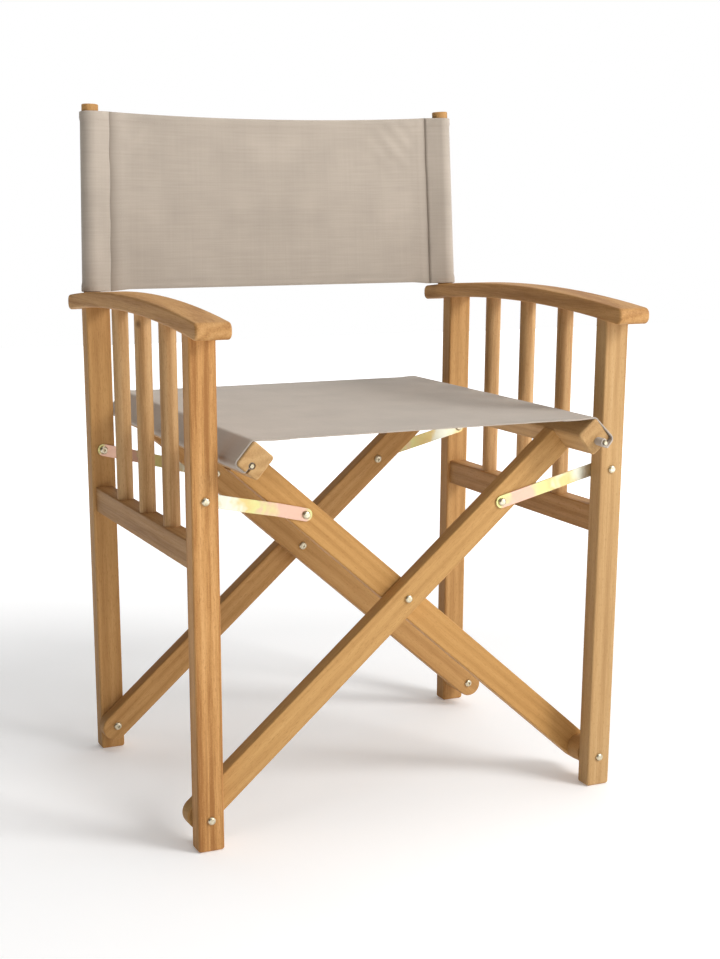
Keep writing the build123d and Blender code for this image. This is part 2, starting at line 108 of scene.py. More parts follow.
class Shader:
    """A small builder for one material's node tree."""

    def __init__(self, name: str) -> None:
        """Starts a material with a principled shader.

        Args:
            name: the material's name.
        """
        self.material = bpy.data.materials.new(name)
        self.material.use_nodes = True
        self.tree = self.material.node_tree
        self.surface = self.tree.nodes["Principled BSDF"]

    def node(self, kind: str, **settings: object) -> bpy.types.Node:
        """Adds a node.

        Args:
            kind: the node's Blender type.
            **settings: its properties.

        Returns:
            The new node.
        """
        made = self.tree.nodes.new(kind)
        for name, value in settings.items():
            setattr(made, name, value)
        return made

    def link(self, source: bpy.types.NodeSocket, target: bpy.types.NodeSocket) -> None:
        """Joins two sockets."""
        self.tree.links.new(source, target)

    def set(self, **values: object) -> None:
        """Sets the shader's own sockets; an underscore in a name stands for a space."""
        for name, value in values.items():
            self.surface.inputs[name.replace("_", " ")].default_value = value

    def object_coords(self) -> bpy.types.NodeSocket:
        """The piece's own coordinates, in metres."""
        return self.node("ShaderNodeTexCoord").outputs["Object"]

    def split(self, vector: bpy.types.NodeSocket) -> tuple[bpy.types.NodeSocket, ...]:
        """The X, Y and Z parts of a coordinate."""
        made = self.node("ShaderNodeSeparateXYZ")
        self.link(vector, made.inputs["Vector"])
        return tuple(made.outputs)

    def mapped(
        self,
        vector: bpy.types.NodeSocket,
        location: Point = (0, 0, 0),
        rotation: Point = (0, 0, 0),
        scale: Point = (1, 1, 1),
        undo: bool = False,
    ) -> bpy.types.NodeSocket:
        """Moves, turns and scales a coordinate.

        Args:
            vector: the coordinate.
            location: the shift.
            rotation: the turn about X, Y and Z.
            scale: the factor along each axis.
            undo: apply the inverse, so that the turned frame becomes the plain one.

        Returns:
            The mapped coordinate.
        """
        mapping = self.node("ShaderNodeMapping", vector_type="TEXTURE" if undo else "POINT")
        mapping.inputs["Location"].default_value = location
        mapping.inputs["Rotation"].default_value = rotation
        mapping.inputs["Scale"].default_value = scale
        self.link(vector, mapping.inputs["Vector"])
        return mapping.outputs["Vector"]

    def noise(
        self,
        vector: bpy.types.NodeSocket,
        scale: float,
        detail: float = 3.0,
        roughness: float = 0.55,
        distortion: float = 0.0,
    ) -> bpy.types.NodeSocket:
        """A noise value at a coordinate."""
        made = self.node("ShaderNodeTexNoise")
        made.inputs["Scale"].default_value = scale
        made.inputs["Detail"].default_value = detail
        made.inputs["Roughness"].default_value = roughness
        made.inputs["Distortion"].default_value = distortion
        self.link(vector, made.inputs["Vector"])
        return made.outputs["Fac"]

    def math(
        self, operation: str, first: object, second: object = 0.0, third: object = 0.0
    ) -> bpy.types.NodeSocket:
        """A Math node on sockets or numbers.

        Args:
            operation: the node's operation.
            first: a socket or a number.
            second: a socket or a number.
            third: a socket or a number.

        Returns:
            The result.
        """
        made = self.node("ShaderNodeMath", operation=operation)
        for socket, value in zip(made.inputs, (first, second, third)):
            if isinstance(value, bpy.types.NodeSocket):
                self.link(value, socket)
            else:
                socket.default_value = value
        return made.outputs[0]

    def ramp(
        self, factor: bpy.types.NodeSocket, stops: Sequence[tuple[float, Rgb]]
    ) -> bpy.types.NodeSocket:
        """A colour ramp.

        Args:
            factor: where to read the ramp.
            stops: position and colour of each stop, in order.

        Returns:
            The colour.
        """
        made = self.node("ShaderNodeValToRGB")
        elements = made.color_ramp.elements
        while len(elements) < len(stops):
            elements.new(0.5)
        for element, (position, colour) in zip(elements, stops):
            element.position = position
            element.color = (*colour, 1.0)
        self.link(factor, made.inputs["Fac"])
        return made.outputs["Color"]

    def remap(
        self, value: bpy.types.NodeSocket, low: float, high: float, to_low: float, to_high: float
    ) -> bpy.types.NodeSocket:
        """Maps one range of values to another, clamped."""
        made = self.node("ShaderNodeMapRange")
        for name, number in (
            ("From Min", low), ("From Max", high), ("To Min", to_low), ("To Max", to_high)
        ):
            made.inputs[name].default_value = number
        self.link(value, made.inputs["Value"])
        return made.outputs["Result"]

    def mix(
        self, factor: object, first: object, second: object, blend: str = "MIX"
    ) -> bpy.types.NodeSocket:
        """Mixes two colours.

        Args:
            factor: a socket or a number.
            first: a socket or a colour.
            second: a socket or a colour.
            blend: the way they mix.

        Returns:
            The mixed colour.
        """
        made = self.node("ShaderNodeMix", data_type="RGBA", blend_type=blend)
        for name, value in (("Factor", factor), ("A", first), ("B", second)):
            socket = [s for s in made.inputs if s.name == name and s.enabled][0]
            if isinstance(value, bpy.types.NodeSocket):
                self.link(value, socket)
            else:
                socket.default_value = value if name == "Factor" else (*value, 1.0)
        return [s for s in made.outputs if s.enabled][0]

    def bump(self, height: bpy.types.NodeSocket, distance: float, strength: float = 1.0) -> None:
        """Adds a bump, in metres, on top of any bump that is already there."""
        made = self.node("ShaderNodeBump")
        made.inputs["Strength"].default_value = strength
        made.inputs["Distance"].default_value = distance
        self.link(height, made.inputs["Height"])
        normal = self.surface.inputs["Normal"]
        if normal.is_linked:
            self.link(normal.links[0].from_socket, made.inputs["Normal"])
        self.link(made.outputs["Normal"], normal)


# --------------------------------------------------------------------------------------------------
# Finishes
# --------------------------------------------------------------------------------------------------


@dataclass(frozen=True)
class BoardLook:
    """How one board differs from the next: its tint, which for the pale boards is partly a painted
    highlight, how streaky it is, and any knot.
    """

    tint: Rgb = (1.0, 1.0, 1.0)
    contrast: float = 1.0
    knot: Point | None = None


@dataclass(frozen=True)
class OiledHardwood:
    """Oiled acacia: fine straight grain, soft bands, dark veins and short open pores."""

    pale: Rgb = (0.620, 0.372, 0.158)
    middle: Rgb = (0.510, 0.282, 0.104)
    deep: Rgb = (0.330, 0.156, 0.050)
    knot: Rgb = (0.070, 0.030, 0.014)
    knot_radius: float = 0.0055
    band_pitch: float = 0.0130
    stretch: float = 26.0
    fibre_scale: float = 620.0
    streak_scale: float = 230.0
    cloud_scale: float = 16.0
    fleck_scale: float = 1100.0
    pore_scale: float = 1500.0
    roughness: tuple[float, float] = (0.48, 0.64)

    def material(
        self, name: str, centre: Point, turn: Point, seed: int, look: BoardLook
    ) -> bpy.types.Material:
        """Makes the wood of one board.

        Args:
            name: the board's name.
            centre: a point on the board's axis.
            turn: the rotation from +X to the direction of the grain.
            seed: a number that moves the pattern, so that no two boards are alike.
            look: what sets the board apart.

        Returns:
            The material.
        """
        shader = Shader(f"oiled_hardwood_{name}")
        heart = (0.011 + 0.013 * (seed * 7 % 5), 0.031 - 0.012 * (seed * 3 % 6))
        board = shader.mapped(shader.object_coords(), centre, turn, undo=True)
        board = shader.mapped(board, (0.37 * seed, heart[0], heart[1]))
        along = 1.0 / self.stretch
        drawn_out = shader.mapped(board, scale=(along, 1.0, 1.0))

        fibre = shader.noise(drawn_out, self.fibre_scale, 4.0, 0.62)
        streak = shader.noise(drawn_out, self.streak_scale, 3.0, 0.6)
        slow = shader.mapped(board, scale=(0.25, 1.0, 1.0))
        cloud = shader.noise(slow, self.cloud_scale, 2.0, 0.5)
        fleck = shader.noise(board, self.fleck_scale, 2.0, 0.6)
        tone = shader.math("MULTIPLY_ADD", self.bands(shader, drawn_out), 0.06, 0.02)
        for part, weight in ((streak, 0.24), (fibre, 0.30), (cloud, 0.24), (fleck, 0.14)):
            tone = shader.math("MULTIPLY_ADD", part, weight, tone)
        spread = 0.17 / look.contrast
        stops = ((0.5 - spread, self.deep), (0.5, self.middle), (0.5 + spread, self.pale))
        colour = shader.ramp(tone, stops)

        # dark veins that run far along the grain, and open pores: short dark dashes
        far = shader.mapped(board, scale=(along * 0.4, 1.0, 1.0))
        vein = shader.noise(far, self.streak_scale, 1.0, 0.4)
        vein = shader.remap(vein, 0.62, 0.72, 0.0, 0.35 * look.contrast)
        colour = shader.mix(vein, colour, self.deep)
        short = shader.mapped(board, scale=(along * 3.0, 1.0, 1.0))
        dash = shader.noise(short, self.pore_scale, 1.0, 0.4)
        pore = shader.remap(dash, 0.60, 0.70, 0.0, 0.50)
        colour = shader.mix(pore, colour, self.deep)
        if look.knot is not None:
            apart = shader.node("ShaderNodeVectorMath", operation="DISTANCE")
            shader.link(shader.object_coords(), apart.inputs[0])
            apart.inputs[1].default_value = look.knot
            edge = shader.math("MULTIPLY_ADD", streak, 0.005, apart.outputs["Value"])
            reach = self.knot_radius
            dark = shader.remap(edge, 0.6 * reach, 1.6 * reach, 0.85, 0.0)
            colour = shader.mix(dark, colour, self.knot)

        colour = shader.mix(1.0, colour, look.tint, "MULTIPLY")
        shader.link(colour, shader.surface.inputs["Base Color"])
        rough = shader.remap(fibre, 0.3, 0.7, self.roughness[1], self.roughness[0])
        shader.link(rough, shader.surface.inputs["Roughness"])
        shader.set(Specular_IOR_Level=0.16)
        shader.bump(fibre, 0.00025, 0.40)
        shader.bump(pore, -0.00020, 0.5)
        return shader.material

    def bands(self, shader: Shader, drawn_out: bpy.types.NodeSocket) -> bpy.types.NodeSocket:
        """Growth bands: the distance from the trunk's heart, bent by slow noise."""
        _, across, through = shader.split(drawn_out)
        side = shader.math("POWER", across, 2.0)
        deep = shader.math("POWER", shader.math("ADD", through, 0.06), 2.0)
        radius = shader.math("SQRT", shader.math("ADD", side, deep))
        wander = shader.noise(drawn_out, 34.0, 2.0, 0.5)
        radius = shader.math("MULTIPLY_ADD", wander, 0.016, radius)
        rings = shader.math("MULTIPLY", radius, 2.0 * math.pi / self.band_pitch)
        return shader.math("SINE", rings)


@dataclass(frozen=True)
class YellowZinc:
    """Yellow passivated zinc plate, which shimmers from gold to silver, green and rose."""

    gold: Rgb = (0.66, 0.52, 0.23)
    silver: Rgb = (0.68, 0.68, 0.56)
    lime: Rgb = (0.62, 0.60, 0.27)
    rose: Rgb = (0.66, 0.43, 0.33)

    def material(self, name: str, x_from: float, x_to: float) -> bpy.types.Material:
        """Makes the plate of one strap.

        Args:
            name: the material's name.
            x_from: where the strap's first band of colour starts, along X.
            x_to: where its last one ends.

        Returns:
            The material.
        """
        shader = Shader(name)
        place = shader.object_coords()
        share = shader.math("SUBTRACT", shader.split(place)[0], x_from)
        share = shader.math("DIVIDE", share, x_to - x_from)
        drift = shader.noise(place, 38.0, 2.0, 0.5, 0.4)
        share = shader.math("ADD", share, shader.math("MULTIPLY_ADD", drift, 0.55, -0.275))
        stops = (
            (0.00, self.gold), (0.14, self.silver), (0.30, self.silver), (0.42, self.gold),
            (0.56, self.lime), (0.66, self.rose), (0.90, self.rose), (1.00, self.lime),
        )
        shader.link(shader.ramp(share, stops), shader.surface.inputs["Base Color"])
        wear = shader.noise(place, 260.0, 3.0, 0.6)
        rough = shader.remap(wear, 0.3, 0.7, 0.34, 0.50)
        shader.link(rough, shader.surface.inputs["Roughness"])
        shader.set(Metallic=1.0)
        shader.bump(wear, 0.00008, 0.3)
        return shader.material


@dataclass(frozen=True)
class PaleZinc:
    """Pale zinc plate of the bolts and nuts, a little tarnished."""

    bright: Rgb = (0.74, 0.68, 0.53)
    dull: Rgb = (0.50, 0.43, 0.28)

    def material(self, name: str) -> bpy.types.Material:
        """Makes the plate."""
        shader = Shader(name)
        place = shader.object_coords()
        tarnish = shader.noise(place, 240.0, 3.0, 0.6)
        stops = ((0.35, self.dull), (0.60, self.bright))
        shader.link(shader.ramp(tarnish, stops), shader.surface.inputs["Base Color"])
        rough = shader.remap(tarnish, 0.3, 0.7, 0.42, 0.26)
        shader.link(rough, shader.surface.inputs["Roughness"])
        shader.set(Metallic=1.0)
        shader.bump(shader.noise(place, 1500.0, 2.0), 0.00005, 0.4)
        return shader.material


@dataclass(frozen=True)
class Canvas:
    """Plain-woven canvas. Its pattern follows the cloth's own map, in metres."""

    yarn: Rgb = (0.472, 0.404, 0.336)
    shade: Rgb = (0.380, 0.326, 0.270)
    # painted shade: the dark colour laid into the sleeve's seam, beside it and along the hems' stitches
    creased: Rgb = (0.200, 0.165, 0.132)
    thread_pitch: float = 0.00075

    def material(self, name: str) -> bpy.types.Material:
        """Makes the cloth."""
        shader = Shader(name)
        flat = shader.node("ShaderNodeUVMap", uv_map="cloth").outputs["UV"]
        turns = 2.0 * math.pi / self.thread_pitch
        warp, weft = (
            shader.math("SINE", shader.math("MULTIPLY", part, turns))
            for part in shader.split(flat)[:2]
        )
        weave = shader.math("MULTIPLY", warp, weft)
        threads = shader.noise(shader.mapped(flat, scale=(0.035, 1.0, 1.0)), 320.0, 4.0, 0.68)
        slubs = shader.noise(shader.mapped(flat, scale=(1.0, 0.02, 1.0)), 420.0, 3.0, 0.55)
        cloud = shader.noise(flat, 14.0, 2.0, 0.5)
        tone = shader.math("MULTIPLY_ADD", threads, 0.40, shader.math("MULTIPLY", slubs, 0.16))
        tone = shader.math("MULTIPLY_ADD", cloud, 0.44, tone)
        tone = shader.math("MULTIPLY_ADD", weave, 0.02, tone)
        stops = ((0.34, self.shade), (0.66, self.yarn))
        colour = shader.ramp(tone, stops)
        # painted shade: a layer of the sheet says how far each point is darkened towards that colour
        crease = shader.node("ShaderNodeAttribute", attribute_name="crease").outputs["Fac"]
        colour = shader.mix(crease, colour, self.creased)
        shader.link(colour, shader.surface.inputs["Base Color"])
        shader.set(Roughness=0.92, Specular_IOR_Level=0.18, Sheen_Weight=0.25, Sheen_Roughness=0.5)
        shader.bump(weave, 0.00010, 0.25)
        shader.bump(threads, 0.00016, 0.25)
        return shader.material


@dataclass(frozen=True)
class SewingThread:
    """Twisted thread in the colour of the canvas."""

    light: Rgb = (0.52, 0.45, 0.37)
    dark: Rgb = (0.36, 0.30, 0.24)

    def material(self, name: str) -> bpy.types.Material:
        """Makes the thread."""
        shader = Shader(name)
        twist = shader.noise(shader.object_coords(), 1800.0, 2.0)
        shader.link(
            shader.ramp(twist, ((0.4, self.dark), (0.6, self.light))),
            shader.surface.inputs["Base Color"],
        )
        shader.set(Roughness=0.8, Specular_IOR_Level=0.25)
        return shader.material


# --------------------------------------------------------------------------------------------------
# Wooden and steel pieces
# --------------------------------------------------------------------------------------------------


def dress(piece: bpy.types.Object, material: bpy.types.Material) -> None:
    """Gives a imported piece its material.

    Args:
        piece: the piece.
        material: its finish.
    """
    piece.data.materials.clear()
    piece.data.materials.append(material)
    log.info("%s: %s", piece.name, material.name)


@dataclass
class Woodwork:
    """The boards, slats and uprights of the chair, each with its own run of grain."""

    finish: OiledHardwood
    leg_angle: float
    plain: BoardLook = BoardLook(tint=(0.98, 0.97, 0.95), contrast=0.6)
    slat: BoardLook = BoardLook(tint=(1.06, 1.14, 1.36))
    knotty_slat: BoardLook = BoardLook(
        tint=(1.04, 1.10, 1.28), contrast=1.15, knot=(-0.2835, -0.0080, 0.6120)
    )
    # partly painted highlight: this paler, less saturated tint stands for the right front post's
    # highlit upper part as well as its paler wood; the seat rails take it too
    pale: BoardLook = BoardLook(tint=(1.00, 1.10, 1.28), contrast=0.6)
    streaky: BoardLook = BoardLook(tint=(1.06, 0.98, 0.90), contrast=1.4)
    arm: BoardLook = BoardLook(tint=(0.97, 0.93, 0.90), contrast=1.0)
    side_rail: BoardLook = BoardLook(tint=(0.86, 0.84, 0.86), contrast=0.8)
    golden: BoardLook = BoardLook(tint=(1.03, 1.00, 0.88), contrast=0.5)
    light_golden: BoardLook = BoardLook(tint=(1.04, 1.06, 1.02), contrast=0.5)

    def look_of(self, node: str) -> BoardLook:
        """What sets a wooden piece apart, by its name."""
        special = {
            "left_slat_2": self.knotty_slat,
            "left_front_post": self.streaky,
            "left_armrest": self.arm,
            "right_armrest": self.arm,
            "left_side_rail": self.side_rail,
            "right_side_rail": self.side_rail,
            "right_front_post": self.pale,
            "inner_front_leg": self.golden,
            "outer_front_leg": self.light_golden,
        }
        if node in special:
            return special[node]
        if "slat" in node:
            return self.slat
        return self.pale if node.endswith("seat_rail") else self.plain

    def turn(self, grain: Grain) -> Point:
        """The rotation from +X to a direction of grain."""
        return {
            Grain.UPRIGHT: (0.0, -math.pi / 2, 0.0),
            Grain.FRONT_TO_BACK: (0.0, 0.0, math.pi / 2),
            Grain.LEG_UP_RIGHT: (0.0, -self.leg_angle, 0.0),
            Grain.LEG_UP_LEFT: (0.0, self.leg_angle, 0.0),
        }[grain]

    def grain_of(self, node: str) -> Grain:
        """The grain of a wooden piece, by its name."""
        if node.endswith("_leg"):
            return Grain.LEG_UP_RIGHT if node.startswith("outer") else Grain.LEG_UP_LEFT
        if node.endswith(("armrest", "rail", "foot_spacers")):
            return Grain.FRONT_TO_BACK
        return Grain.UPRIGHT

    def dress_all(self, pieces: dict[str, bpy.types.Object]) -> None:
        """Dresses every wooden piece.

        Args:
            pieces: the pieces, by name.
        """
        for seed, (node, piece) in enumerate(sorted(pieces.items()), 1):
            low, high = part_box(node)
            centre = tuple((a + b) / 2 for a, b in zip(low, high))
            turn = self.turn(self.grain_of(node))
            dress(piece, self.finish.material(node, centre, turn, seed, self.look_of(node)))


# --------------------------------------------------------------------------------------------------
# Cloth
# --------------------------------------------------------------------------------------------------


@dataclass
class ClothSheet:
    """A sewn sheet, made from a mid-surface that is sampled along and across it."""

    name: str
    thickness: float
    material: bpy.types.Material

    def build(
        self,
        along: Sequence[float],
        across: Sequence[float],
        place: Callable[[float, float], Vector],
        crease: Callable[[float, float], float],
    ) -> bpy.types.Object:
        """crease: how much painted shade the cloth gets at a pair of distances, from 0 to 1.

        Returns:
            The piece.
        """
        mesh = bpy.data.meshes.new(self.name)
        shape = bmesh.new()
        uv = shape.loops.layers.uv.new("cloth")
        # painted shade: a layer of how far each point of the cloth is darkened
        painted_shade_layer = shape.verts.layers.float.new("crease")
        grid = [[shape.verts.new(place(s, t)) for t in across] for s in along]
        for row, s in zip(grid, along):
            for vert, t in zip(row, across):
                vert[painted_shade_layer] = crease(s, t)
        for i in range(len(along) - 1):
            for j in range(len(across) - 1):
                face = shape.faces.new(
                    (grid[i][j], grid[i + 1][j], grid[i + 1][j + 1], grid[i][j + 1])
                )
                face.smooth = True
                corners = ((i, j), (i + 1, j), (i + 1, j + 1), (i, j + 1))
                for loop, (a, b) in zip(face.loops, corners):
                    loop[uv].uv = (along[a], across[b])
        shape.to_mesh(mesh)
        shape.free()
        piece = bpy.data.objects.new(self.name, mesh)
        bpy.context.scene.collection.objects.link(piece)
        mesh.materials.append(self.material)
        wall = piece.modifiers.new("wall", "SOLIDIFY")
        wall.thickness = self.thickness
        wall.offset = 0.0
        wall.use_even_offset = True
        apply_modifiers(piece)
        return piece


def apply_modifiers(piece: bpy.types.Object) -> None:
    """Turns a piece with modifiers into a plain mesh."""
    bpy.context.view_layer.update()
    evaluated = piece.evaluated_get(bpy.context.evaluated_depsgraph_get())
    mesh = bpy.data.meshes.new_from_object(evaluated)
    piece.modifiers.clear()
    old = piece.data
    piece.data = mesh
    mesh.set_sharp_from_angle(angle=math.radians(50))
    bpy.data.meshes.remove(old)
    mesh.name = piece.name


def steps(start: float, end: float, pitch: float) -> list[float]:
    """Evenly spaced values from start to end, about pitch apart."""
    count = max(1, round(abs(end - start) / pitch))
    return [start + (end - start) * i / count for i in range(count + 1)]


def smooth(value: float) -> float:
    """A smooth step from 0 to 1."""
    value = min(1.0, max(0.0, value))
    return value * value * (3.0 - 2.0 * value)


def peak(off: float, reach: float) -> float:
    """A ridge: 1 where off is 0, down to 0 where it is reach."""
    return max(0.0, 1.0 - off / reach)


def running(parts: Iterable[float]) -> list[float]:
    """The distance from the start at every point of a line, from the lengths of its parts."""
    total = [0.0]
    for part in parts:
        total.append(total[-1] + part)
    return total


def row_finder(lengths: Sequence[float]) -> Callable[[float], int]:
    """Makes a look-up from a distance along the cloth to the row of the sheet there."""
    index = {round(length, 7): i for i, length in enumerate(lengths)}
    return lambda length: index[round(length, 7)]


def hem_turn(beyond: float, step: float, fold: float) -> tuple[float, float]:
    """Where a hem's folded part lies.

    Args:
        beyond: the distance past the cloth's edge, measured along the cloth.
        step: the height of the fold, which sets how long its bend is.
        fold: how far under the cloth the hem lies there.

    Returns:
        How far outside the edge the point is, and how far under the cloth.
    """
    bend = step * math.pi / 2
    if beyond <= 0.0:
        return 0.0, 0.0
    if beyond <= bend:
        angle = beyond / (step / 2)
        return fold / 2 * math.sin(angle), fold / 2 * (1 - math.cos(angle))
    return bend - beyond, fold


class Stitcher:
    """Rows of stitches, placed along a line by a node tree and then made plain meshes."""

    stitch_length = 0.0030
    stitch_pitch = 0.0042
    thread_diameter = 0.0007
    sunk = 0.0002                   # thread's centre below the cloth's face

    def __init__(self, material: bpy.types.Material) -> None:
        """Keeps the thread's material and builds the node tree.

        Args:
            material: the thread.
        """
        self.material = material
        self.tree = self.node_tree()

    def node_tree(self) -> bpy.types.NodeTree:
        """Builds the tree: a line in, one small capsule for each stitch out."""
        tree = bpy.data.node_groups.new("stitch_row", "GeometryNodeTree")
        face = tree.interface
        face.new_socket("Geometry", in_out="INPUT", socket_type="NodeSocketGeometry")
        for name, value in (
            ("Stitch Pitch", self.stitch_pitch),
            ("Stitch Length", self.stitch_length),
            ("Thread Diameter", self.thread_diameter),
        ):
            made = face.new_socket(name, in_out="INPUT", socket_type="NodeSocketFloat")
            made.default_value = value
        made = face.new_socket("Thread", in_out="INPUT", socket_type="NodeSocketMaterial")
        face.new_socket("Geometry", in_out="OUTPUT", socket_type="NodeSocketGeometry")

        def add(kind: str, **settings: object) -> bpy.types.Node:
            node = tree.nodes.new(kind)
            for name, value in settings.items():
                setattr(node, name, value)
            return node

        link = tree.links.new
        inputs, output = add("NodeGroupInput"), add("NodeGroupOutput")
        line = add("GeometryNodeMeshToCurve")
        spaced = add("GeometryNodeResampleCurve", mode="LENGTH")
        link(inputs.outputs["Geometry"], line.inputs["Mesh"])
        link(line.outputs["Curve"], spaced.inputs["Curve"])
        link(inputs.outputs["Stitch Pitch"], spaced.inputs["Length"])
        capsule = add("GeometryNodeMeshUVSphere")
        capsule.inputs["Segments"].default_value = 6
        capsule.inputs["Rings"].default_value = 4
        capsule.inputs["Radius"].default_value = 0.5
        size = add("ShaderNodeCombineXYZ")
        link(inputs.outputs["Thread Diameter"], size.inputs["X"])
        link(inputs.outputs["Thread Diameter"], size.inputs["Y"])
        link(inputs.outputs["Stitch Length"], size.inputs["Z"])
        shape = add("GeometryNodeTransform")
        link(capsule.outputs["Mesh"], shape.inputs["Geometry"])
        link(size.outputs["Vector"], shape.inputs["Scale"])
        tangent = add("GeometryNodeInputTangent")
        turn = add("FunctionNodeAlignRotationToVector", axis="Z")
        link(tangent.outputs["Tangent"], turn.inputs["Vector"])
        place = add("GeometryNodeInstanceOnPoints")
        link(spaced.outputs["Curve"], place.inputs["Points"])
        link(shape.outputs["Geometry"], place.inputs["Instance"])
        link(turn.outputs["Rotation"], place.inputs["Rotation"])
        real = add("GeometryNodeRealizeInstances")
        link(place.outputs["Instances"], real.inputs["Geometry"])
        paint = add("GeometryNodeSetMaterial")
        link(real.outputs["Geometry"], paint.inputs["Geometry"])
        link(inputs.outputs["Thread"], paint.inputs["Material"])
        link(paint.outputs["Geometry"], output.inputs["Geometry"])
        return tree

    def rows(self, name: str, lines: Sequence[Sequence[Vector]]) -> bpy.types.Object:
        """Makes the stitches of several lines as one piece.

        Args:
            name: the piece's name.
            lines: the points of each line, on the cloth's surface.

        Returns:
            The piece.
        """
        mesh = bpy.data.meshes.new(name)
        points = [tuple(p) for line in lines for p in line]
        edges, start = [], 0
        for line in lines:
            edges += [(start + i, start + i + 1) for i in range(len(line) - 1)]
            start += len(line)
        mesh.from_pydata(points, edges, [])
        piece = bpy.data.objects.new(name, mesh)
        bpy.context.scene.collection.objects.link(piece)
        modifier = piece.modifiers.new("stitches", "NODES")
        modifier.node_group = self.tree
        sockets = {s.name: s.identifier for s in self.tree.interface.items_tree if s.in_out == "INPUT"}
        modifier[sockets["Stitch Pitch"]] = self.stitch_pitch
        modifier[sockets["Stitch Length"]] = self.stitch_length
        modifier[sockets["Thread Diameter"]] = self.thread_diameter
        modifier[sockets["Thread"]] = self.material
        apply_modifiers(piece)
        for face in piece.data.polygons:
            face.use_smooth = True
        return piece


@dataclass
class SeatCloth:
    """The canvas seat: it wraps each rail, goes into the keyhole and is rolled round a rod."""

    canvas: bpy.types.Material
    stitcher: Stitcher
    leg_angle: float
    thickness: float = 0.0011
    panel_thickness: float = 0.00055   # thin enough for two doubled hems to meet when folded
    panel_fold: float = 0.0006
    air: float = 0.0013             # room for the folded hem, under the outer layer
    hem_width: float = 0.015
    fold_step: float = 0.0012
    stitch_inset: float = 0.0110
    keyhole_offset: float = 0.0070
    roll_radius: float = 0.0034
    rail_along: float = 0.0320
    rail_across: float = 0.0340
    rail_corner: float = 0.0040
    crease_reach: float = 0.0800
    flare_right: float = 0.0190     # how far the right roll stands out at the front
    flare_left: float = 0.0010
    settle: float = 0.0300          # run over which the cloth comes down to its own level

    def __post_init__(self) -> None:
        """Reads the rails' and the cloth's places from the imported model."""
        low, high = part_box("right_seat_rail")
        self.rail_x = (low[0] + high[0]) / 2
        self.rail_z = (low[2] + high[2]) / 2
        low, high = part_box("right_seat_cloth_side")
        self.hinge_z = (low[2] + high[2]) / 2
        self.hinge_x = high[0] - (high[2] - low[2]) / 2
        self.half_depth = high[1]
        self.crease_x = self.hinge_x - self.crease_reach
        self.split_x = self.hinge_x - self.crease_reach / 2
        self.level = self.thickness / 2 + self.air

    def path(self) -> list[Vector]:
        """The right half's route in the XZ plane, from the rod's roll to the split line."""
        e = Vector((math.cos(self.leg_angle), 0.0, math.sin(self.leg_angle)))
        n = Vector((-e.z, 0.0, e.x))
        rail = Vector((self.rail_x, 0.0, self.rail_z))
        level = self.level
        a, b, r = self.rail_along / 2, self.rail_across / 2, self.rail_corner

        def local(u: float, v: float) -> Vector:
            return rail + e * u + n * v

        def round_point(u: float, v: float, reach: float, degrees: float) -> Vector:
            angle = math.radians(degrees)
            return local(u + reach * math.cos(angle), v + reach * math.sin(angle))

        def corner(v: float, degrees: float) -> Vector:
            return round_point(a - r, v, r + level, degrees)

        # once round the rod, out through the slot, then round the rail's two outer corners
        points = [
            round_point(0.0, -self.keyhole_offset, self.roll_radius, -50.0 - turn)
            for turn in range(0, 301, 20)
        ]
        points.append(local(0.0003, -b + 0.004))
        points.append(local(0.0005, -b - 0.0002))
        points.append(local(0.0018, -b - level * 0.75))
        points += [corner(-b + r, turn) for turn in range(-90, 1, 15)]
        top = math.degrees(math.pi / 2 - self.leg_angle)
        points += [corner(b - r, top * turn / 5) for turn in range(6)]
        # from the rail's top the cloth comes down by the hem's thickness, to its own level
        z = points[-1].z
        start = points[-1].x
        for x in steps(start, self.split_x, 0.0025)[1:]:
            share = smooth((start - x) / self.settle)
            points.append(Vector((x, 0.0, z + (self.hinge_z - z) * share)))
        return points

    def across(self) -> list[float]:
        """Distances across the seat: the folded hem, the cloth and the other folded hem."""
        half, hem = self.half_depth, self.hem_width
        arc = self.fold_step * math.pi / 2
        edge = half + hem + arc
        inset = self.stitch_inset
        inner = [-half, -half + inset - 0.004, -half + inset, -half + inset + 0.004]
        inner += steps(-half + inset + 0.012, half - inset - 0.012, 0.012)
        inner += [half - inset - 0.004, half - inset, half - inset + 0.004, half]
        under = [-edge, -half - arc - 0.0002]
        turn = [-half - arc * k / 4 for k in (3, 2, 1)]
        return under + turn + inner + [-t for t in reversed(turn)] + [-t for t in reversed(under)]

    def place(
        self, on_line: Vector, normal: Vector, t: float, flare: float, fold: float
    ) -> Vector:
        """A point of the mid-surface, with the hem folded under at both edges.

        Args:
            on_line: the point of the route.
            normal: the cloth's outward direction there.
            t: the distance across.
            flare: how far the front edge stands out there.
            fold: how far under the cloth its folded hem lies there.

        Returns:
            The point.
        """
        half = self.half_depth
        beyond = abs(t) - half
        out, drop = hem_turn(beyond, self.fold_step, fold)
        y = t if beyond <= 0 else math.copysign(half + out, t)
        front = smooth((-y / half - 0.80) / 0.20)
        y -= flare * front
        return Vector((on_line.x, y, on_line.z)) - normal * drop

    def crease(self, s: float, t: float) -> float:
        """How much painted shade the seat gets: a little along the hems' stitches."""
        off = abs(abs(t) - (self.half_depth - self.stitch_inset))
        return 0.10 * peak(off, 0.004)

    def half(self, side: Side) -> None:
        """Makes one half of the seat, with its stitches.

        Args:
            side: which half.
        """
        mirror = side.mirror
        line = self.path()
        lengths = running((b - a).length for a, b in zip(line, line[1:]))
        normals = []
        for i in range(len(line)):
            along = (line[min(i + 1, len(line) - 1)] - line[max(i - 1, 0)]).normalized()
            normals.append(Vector((along.z, 0.0, -along.x)))
        highest = max(point.z for point in line)
        top = next(i for i, point in enumerate(line) if point.z > highest - 1e-6)
        flare = self.flare_right if side is Side.RIGHT else self.flare_left
        row_at = row_finder(lengths)

